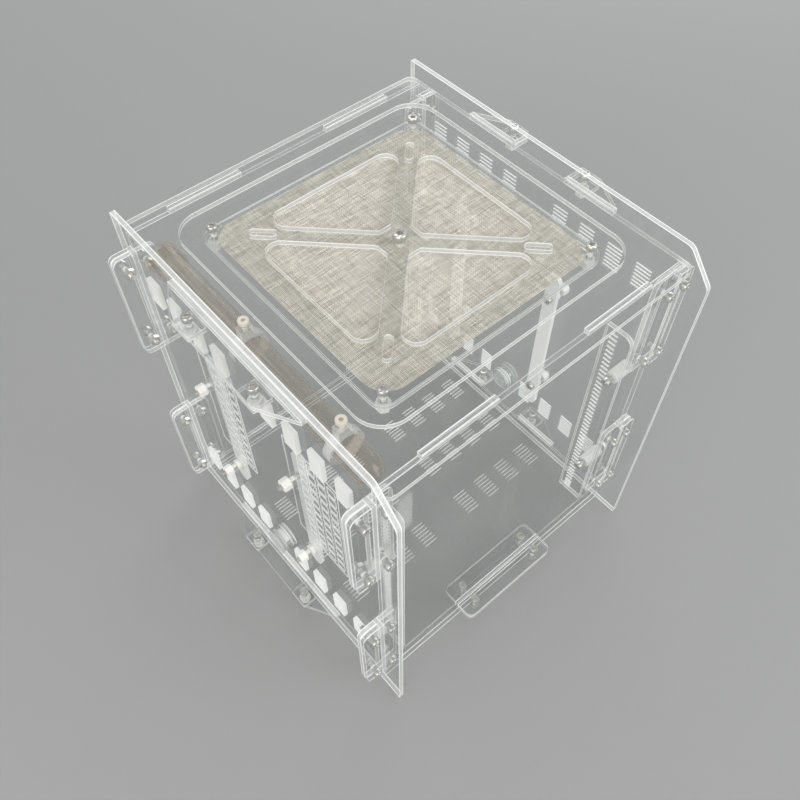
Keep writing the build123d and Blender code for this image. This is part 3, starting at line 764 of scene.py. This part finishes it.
def marked(name, axis, points, mirrored=False):
    """A mesh of places in millimetres, each with the turn that points +Z along an axis.
    axis is such as "+X". Mirrored adds the other side's places, pointing the other way."""
    sign = 1 if axis[0] == "+" else -1
    entries = [(point, sign) for point in points]
    if mirrored:
        entries += [((-x, y, z), -sign) for x, y, z in points]
    mesh = bpy.data.meshes.new(name + "_places")
    mesh.from_pydata([Vector(point) * MM for point, _ in entries], [], [])
    turns = mesh.attributes.new("turn", "FLOAT_VECTOR", "POINT")
    for index, (_, way) in enumerate(entries):
        up = Vector(POINTING[axis[1]]) * way
        flat = Vector(FLAT_TOWARDS[axis[1]])
        turn = Matrix((flat, up.cross(flat), up)).transposed().to_euler()
        turns.data[index].vector = tuple(turn)
    return mesh


def grid_of(xs, ys, zs):
    """Every crossing of three lists of coordinates."""
    return [(x, y, z) for x in xs for y in ys for z in zs]


SIDES = (-1, 1)
BOX_MIDDLE = 5.75
SHEET = 3.0
SPACER = 15.0
PANEL_IN, PANEL_OUT = 97.0, 100.0
FLOOR_UNDER, FLOOR_FACE = 10.0, 13.0
TOP_UNDER, TOP_FACE = 231.5, 234.5
LID_FOOT, LID_FACE = 231.4, 237.8
FRONT_FACE, REAR_FACE = -93.0, 104.5
STRIP_X = [way * (98.5 + off * 6.0) for way in SIDES for off in SIDES]
STRIP_Z = [middle + off * 26.5 for middle in (50.0, 186.0) for off in SIDES]
WEDGE_X = [way * 105.5 for way in SIDES]
WEDGE_Y = [BOX_MIDDLE + way * 26.25 for way in SIDES]
FLOOR_STRIP_X = [way * 26.5 for way in SIDES]
FLOOR_STRIP_Y = [-91.5 + off * 6.0 for off in SIDES]
UPRIGHT_Y, UPRIGHT_Z = -83.2, (51.0, 143.0)
BAR_Y = [BOX_MIDDLE + off for off in (48.0, -30.0)]
BAR_Z = (68.5, 154.5)
LID_X = [way * 65.5 for way in SIDES]
LID_Y = [BOX_MIDDLE + way * 65.5 for way in SIDES]
HANGER_X = -87.0
HANGER_Y = [BOX_MIDDLE + along for along in (-64.0, 8.0)]

# %% Screws
M3 = {"Head radius": 2.75, "Head height": 3.0, "Socket width": 2.5, "Shank radius": 1.5,
      "Pitch": 0.5}
M4 = {"Head radius": 3.5, "Head height": 4.0, "Socket width": 3.0, "Shank radius": 2.0,
      "Pitch": 0.7}
HANGER = {"Head radius": 2.75, "Head height": 2.2, "Socket width": 2.0, "Shank radius": 1.25,
          "Pitch": 0.45}


def fasten(recipe, node, body, material, axis, points, sizes, mirrored=False):
    """Detailed fasteners in the place of a CAD node."""
    places = marked(node, axis, points, mirrored)
    in_metres = {name: size * MM for name, size in sizes.items()}
    piece = recipe.make("detailed_" + node, places, in_metres, material)
    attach(piece, body)
    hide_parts(node)
    low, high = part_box(node)
    corners = [vertex.co for vertex in piece.data.vertices]
    miss = max(
        abs(outermost(co[k] for co in corners) - solid[k])
        for k in range(3)
        for outermost, solid in ((min, low), (max, high))
    )
    print(f"{piece.name}: {len(piece.data.polygons)} faces, off its solid {miss / MM:.2f} mm")


for node, body, material, axis, points, sizes, mirrored in (
    ("top_lock_screws", "housing", STEEL, "+Z", grid_of(WEDGE_X, WEDGE_Y, [TOP_FACE]),
     {**M3, "Shank length": 13.0}, False),
    ("floor_lock_screws", "housing", STEEL, "+Z", grid_of(WEDGE_X, WEDGE_Y, [FLOOR_FACE]),
     {**M3, "Shank length": 11.0}, False),
    ("front_strip_screws", "housing", STEEL, "-Y", grid_of(STRIP_X, [FRONT_FACE], STRIP_Z),
     {**M3, "Shank length": 10.4}, False),
    ("rear_strip_screws", "housing", STEEL, "+Y", grid_of(STRIP_X, [REAR_FACE], STRIP_Z),
     {**M3, "Shank length": 10.4}, False),
    ("floor_strip_screws", "housing", STEEL, "+Z",
     grid_of(FLOOR_STRIP_X, FLOOR_STRIP_Y, [FLOOR_FACE + SHEET]),
     {**M3, "Shank length": 10.4}, False),
    ("upright_screws", "housing", STEEL, "-X",
     grid_of([PANEL_IN - SPACER - SHEET], [UPRIGHT_Y], UPRIGHT_Z),
     {**M3, "Shank length": 25.4}, True),
    ("bar_screws", "housing", STEEL, "-X", grid_of([PANEL_IN - 2.0 * SHEET], BAR_Y, BAR_Z),
     {**M3, "Shank length": 16.0}, True),
    ("hanger_screws", "housing", AGED_NYLON, "+Z", grid_of([HANGER_X], HANGER_Y, [TOP_FACE]),
     {**HANGER, "Shank length": 6.9}, False),
    ("lid_corner_screws", "lid", STEEL, "+Z", grid_of(LID_X, LID_Y, [LID_FACE]),
     {**M3, "Shank length": 13.4}, False),
    ("lid_centre_screw", "lid", STEEL, "+Z", [(0.0, BOX_MIDDLE, LID_FACE)],
     {**M4, "Shank length": 11.6}, False),
):
    fasten(screw_recipe, node, body, material, axis, points, sizes, mirrored)

# %% Nuts, spacers and washers
STEEL_NUT = {"Flats": 5.5, "Height": 2.4, "Bore radius": 1.52}
NYLON_NUT = {"Flats": 6.4, "Height": 5.0, "Bore radius": 1.52}
for node, body, material, axis, points, sizes, mirrored in (
    ("front_strip_nuts", "housing", STEEL, "+Y",
     grid_of(STRIP_X, [FRONT_FACE + 2.0 * SHEET], STRIP_Z), STEEL_NUT, False),
    ("rear_strip_nuts", "housing", STEEL, "-Y",
     grid_of(STRIP_X, [REAR_FACE - 2.0 * SHEET], STRIP_Z), STEEL_NUT, False),
    ("floor_strip_nuts", "housing", STEEL, "-Z",
     grid_of(FLOOR_STRIP_X, FLOOR_STRIP_Y, [FLOOR_UNDER]), STEEL_NUT, False),
    ("upright_nuts", "housing", STEEL, "+X", grid_of([PANEL_OUT], [UPRIGHT_Y], UPRIGHT_Z),
     STEEL_NUT, True),
    ("lid_centre_nut", "lid", STEEL, "-Z", [(0.0, BOX_MIDDLE, LID_FOOT)],
     {"Flats": 7.0, "Height": 3.2, "Bore radius": 2.02}, False),
    ("top_lock_nuts", "housing", NYLON, "-Z", grid_of(WEDGE_X, WEDGE_Y, [TOP_UNDER - SHEET]),
     NYLON_NUT, False),
    ("floor_lock_nuts", "housing", NYLON, "-Z", grid_of(WEDGE_X, WEDGE_Y, [FLOOR_UNDER - SHEET]),
     NYLON_NUT, False),
    ("bar_nuts", "housing", NYLON, "+X", grid_of([PANEL_OUT], BAR_Y, BAR_Z), NYLON_NUT, True),
    ("lid_corner_nuts", "lid", NYLON, "-Z", grid_of(LID_X, LID_Y, [LID_FOOT]), NYLON_NUT, False),
    ("upright_spacers", "housing", NYLON, "+X",
     grid_of([PANEL_IN - SPACER], [UPRIGHT_Y], UPRIGHT_Z),
     {"Flats": 7.0, "Height": SPACER, "Bore radius": 1.52}, True),
):
    fasten(nut_recipe, node, body, material, axis, points, sizes, mirrored)

WASHERS = grid_of([PANEL_IN - SHEET], BAR_Y, BAR_Z) + grid_of([-PANEL_IN], BAR_Y, BAR_Z[:1])
fasten(ring_recipe, "bar_washers", "housing", NYLON, "+X", WASHERS,
       {"Radius": 3.5, "Height": SHEET, "Bore radius": 1.6})

# %% [markdown]
# ## Woven wire cloth
# The lid's cloth is a plain weave: each wire passes over one crossing wire and under the next.
# One recipe lays wires side by side and bends each into the wave that a weave forces on it, and
# runs twice, for the two directions, with the waves of neighbours opposed. The cloth has rounded
# corners, so a wire near a side stops where the corner's arc cuts it: its points past that are
# pulled back to it and merged, which leaves a closed end. A wire has three sides, from -0.5 to 1
# across before it is sized, since no eye can count the sides of a wire this thin.

# %% A recipe for one direction of the weave
weave = Recipe("woven_wires", ("Width", "Corner", "Pitch", "Thickness", "Screw hole"))
cloth_width = weave.size("Width")
half_width = cloth_width * 0.5
pitch = weave.size("Pitch")
wire_count = weave.whole_number(cloth_width / pitch)
quarter = weave.size("Thickness") * 0.25
WIRE_SPREAD = 0.26  # a wire's size across, as a share of the pitch

one_wire = weave.node("GeometryNodeMeshCylinder", inputs={
    "Vertices": 3, "Side Segments": wire_count + 1.0, "Radius": 1.0, "Depth": cloth_width + pitch,
})
one_wire = weave.moved(
    one_wire,
    weave.part_of_place(2),
    weave.part_of_place(1) * pitch * -WIRE_SPREAD,
    (weave.part_of_place(0) - 0.25) * quarter * (4.0 / 3.0),
)
starts = weave.node("GeometryNodeMeshLine", inputs={
    "Count": wire_count,
    "Start Location": weave.point(0.0, (pitch - cloth_width) * 0.5, 0.0),
    "Offset": weave.point(0.0, pitch, 0.0),
})
wires = weave.node(
    "GeometryNodeInstanceOnPoints", inputs={"Points": starts, "Instance": one_wire}
)
wires = weave.node("GeometryNodeRealizeInstances", inputs={"Geometry": wires})

# %% The wave of each wire, and the cloth's rounded corners
across = weave.part_of_place(1)
wire_number = ((across + half_width) / pitch - 0.5).rounded()
wire_middle = (wire_number + 0.5) * pitch - half_width
straight = half_width - weave.size("Corner")
into_corner = (abs(wire_middle) - straight).at_least(0.0)
reach = straight + (weave.size("Corner") ** 2.0 - into_corner ** 2.0).at_least(0.0) ** 0.5
held = weave.part_of_place(0).at_most(reach).at_least(reach * -1.0)
wave = ((held / pitch + wire_number) * math.pi).sine()
wires = weave.moved(wires, held, across, weave.part_of_place(2) + wave * quarter)
wires = weave.welded(wires)
from_axis = (weave.part_of_place(0) ** 2.0 + weave.part_of_place(1) ** 2.0) ** 0.5
wires = weave.node("GeometryNodeDeleteGeometry", inputs={
    "Geometry": wires, "Selection": from_axis.under(weave.size("Screw hole")),
})
weave.serve(weave.set_at_places(wires))

# %% [markdown]
# Wire is drawn and woven under tension, so no two wires lie quite alike. Some catch the light
# along a whole stretch and their neighbours don't, which is what makes a cloth look woven from
# afar, where a single wire is too thin to see. The finish paints that in: its tone, partly the
# wires' own and partly a painted sheen, is a noise that is stretched along the wires and quick
# across them.

# %% The finish of the wires
# Wire colours: partly the wires' own tone, partly painted sheen and painted shade.
WIRE_OUT_OF_SHEEN = (0.45, 0.415, 0.35, 1.0)
WIRE_IN_SHEEN = (1.0, 0.955, 0.845, 1.0)
WIRE_ALONG, WIRE_ACROSS = 95.0, 1500.0


def drawn_wire(name, along_x):
    """Stainless wire that runs along X or Y."""
    finish = Finish(name)
    stretch = (WIRE_ALONG, WIRE_ACROSS, 1.0) if along_x else (WIRE_ACROSS, WIRE_ALONG, 1.0)
    wire_lay_and_sheen = finish.noise(1.0, 2.5, finish.place(stretch))
    # Tone along each wire: partly its own, partly a painted sheen where it would catch the light.
    tone = ((wire_lay_and_sheen - 0.28) * 2.6).at_least(0.0).at_most(1.0)
    return finish.surface(finish.principled(
        Base_Color=finish.colour_between(tone, WIRE_OUT_OF_SHEEN, WIRE_IN_SHEEN),
        Metallic=0.6,
        Roughness=0.62 - 0.2 * tone,
    ))


# %% Both directions of the cloth
CLOTH_HEIGHT = 234.6
CLOTH = {"Width": 135.0, "Corner": 14.0, "Pitch": 0.75, "Thickness": 0.4, "Screw hole": 2.1}
for direction, quarter_turns in (("warp", 0), ("weft", 1)):
    places = marked("cloth_" + direction, "+Z", [(0.0, BOX_MIDDLE, CLOTH_HEIGHT)])
    places.attributes["turn"].data[0].vector = (0.0, 0.0, quarter_turns * math.pi / 2.0)
    in_metres = {name: size * MM for name, size in CLOTH.items()}
    wire = drawn_wire("mesh_steel_" + direction, quarter_turns == 0)
    cloth = weave.make("woven_cloth_" + direction, places, in_metres, wire)
    cloth.data.shade_smooth()
    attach(cloth, "lid")
    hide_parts("lid_mesh")
    print(cloth.name, len(cloth.data.polygons), "faces")

# %% [markdown]
# ## The stage
# A plain pale floor, painted a little paler far out to make up for the lamps' light that falls
# off there, and one tone beyond it for whatever looks past it.
# The world lights the object evenly, three soft boxes model it, and none is bright enough to
# wash a colour out. The floor lies a tenth of a millimetre under the object's feet, because two
# faces at the very same place hide each other.


# %% Floor
FLOOR_TONE = (0.33, 0.33, 0.325, 1.0)
FAR_PAINTED_LIGHT_TONE = (0.475, 0.475, 0.47, 1.0)
PALER_FROM, PALER_TO = 0.4, 2.6
FLOOR_REACH = 8.0
FLOOR_DROP = 0.1 * MM


def floor_finish():
    """A plain pale floor, painted paler far out as painted light, where less of the lamps' light
    falls.
    """
    finish = Finish("stage_floor")
    away = finish.node(
        "ShaderNodeVectorMath", {"operation": "LENGTH"}, {0: finish.place()}, output="Value"
    )
    # Painted light: the floor is painted paler far out, where the lamps' light falls off.
    far = finish.smooth_step(away, PALER_FROM, PALER_TO)
    tone = finish.colour_between(far, FLOOR_TONE, FAR_PAINTED_LIGHT_TONE)
    return finish.surface(finish.principled(
        Base_Color=tone, Roughness=0.9, Specular_IOR_Level=0.2
    ))


floor_mesh = bpy.data.meshes.new("stage_floor")
SQUARE = ((-1, -1), (1, -1), (1, 1), (-1, 1))
corners = [(x * FLOOR_REACH, y * FLOOR_REACH, -FLOOR_DROP) for x, y in SQUARE]
floor_mesh.from_pydata(corners, [], [(0, 1, 2, 3)])
floor_mesh.materials.append(floor_finish())
floor = bpy.data.objects.new("stage_floor", floor_mesh)
bpy.context.scene.collection.objects.link(floor)
print("floor", 2.0 * FLOOR_REACH, "m wide")

# %% World
VIEW_TONE = (0.38, 0.38, 0.375, 1.0)
FILL_TONE = (0.96, 0.98, 1.0, 1.0)
FILL_STRENGTH = 0.8

world = bpy.data.worlds.new("studio")
bpy.context.scene.world = world
world.use_nodes = True
world.node_tree.nodes.clear()
air = NodeBoard(world.node_tree)
rays = [
    air.node("ShaderNodeLightPath", output="Is " + kind + " Ray")
    for kind in ("Camera", "Transmission", "Glossy")
]
seen = rays[0].at_least(rays[1]).at_least(rays[2])
fill = air.node("ShaderNodeBackground", inputs={"Color": FILL_TONE, "Strength": FILL_STRENGTH})
backdrop = air.node("ShaderNodeBackground", inputs={"Color": VIEW_TONE, "Strength": 1.0})
blend = air.node("ShaderNodeMixShader", inputs={0: seen, 1: fill, 2: backdrop})
air.node("ShaderNodeOutputWorld", inputs={"Surface": blend}, output=None)
print("world fill", FILL_STRENGTH)


# %% Lamps
LAMP_TARGET = (0.0, 0.0, 0.12)


def soft_lamp(name, place, size, power, colour):
    """A square soft box that points at the object."""
    lamp = bpy.data.lights.new(name, "AREA")
    lamp.size = size
    lamp.energy = power
    lamp.color = colour
    holder = bpy.data.objects.new(name, lamp)
    holder.location = place
    direction = Vector(LAMP_TARGET) - Vector(place)
    holder.rotation_euler = direction.to_track_quat("-Z", "Y").to_euler()
    bpy.context.scene.collection.objects.link(holder)
    print("lamp", name, power, "W")


soft_lamp("key", (-1.35, -0.7, 0.95), 1.4, 15.0, (1.0, 0.975, 0.94))
soft_lamp("side", (0.85, -1.4, 0.8), 1.2, 10.0, (0.97, 0.985, 1.0))
soft_lamp("back", (1.2, 0.9, 0.6), 1.0, 7.0, (1.0, 1.0, 1.0))

# %% [markdown]
# ## The camera
# A camera's place, aim and lens follow from where a box's corners fall in its picture: a few
# of them fix where it stands and how it is turned, and the rest fix its lens. A ray crosses a
# dozen clear sheets on its way through the box, with two faces and many slit walls each, so it
# may pass more of them than a ray needs to elsewhere.

# %% Camera
AZIMUTH = 40.199
ELEVATION = 54.611
ROLL = -0.489
CAMERA_PLACE = (-0.19351, -0.22249, 0.52331)
SENSOR_WIDTH, FOCAL_LENGTH = 36.0, 37.44
CLEAR_FACES_PASSED = 64

azimuth, elevation, roll = (math.radians(angle) for angle in (AZIMUTH, ELEVATION, ROLL))
back = Vector((
    -math.sin(azimuth) * math.cos(elevation),
    -math.cos(azimuth) * math.cos(elevation),
    math.sin(elevation),
))
right = Vector((math.cos(azimuth), -math.sin(azimuth), 0.0))
up = back.cross(right)
turned_right = right * math.cos(roll) + up * math.sin(roll)
turned_up = up * math.cos(roll) - right * math.sin(roll)
lens = bpy.data.cameras.new("camera")
lens.sensor_width = SENSOR_WIDTH
lens.lens = FOCAL_LENGTH
camera = bpy.data.objects.new("camera", lens)
turn = Matrix((turned_right, turned_up, back)).transposed().to_4x4()
camera.matrix_world = Matrix.Translation(CAMERA_PLACE) @ turn
bpy.context.scene.collection.objects.link(camera)
bpy.context.scene.camera = camera
bpy.context.scene.view_settings.view_transform = "Standard"
bpy.context.scene.cycles.transparent_max_bounces = CLEAR_FACES_PASSED
print("camera", [round(c / MM, 1) for c in camera.location], "mm")
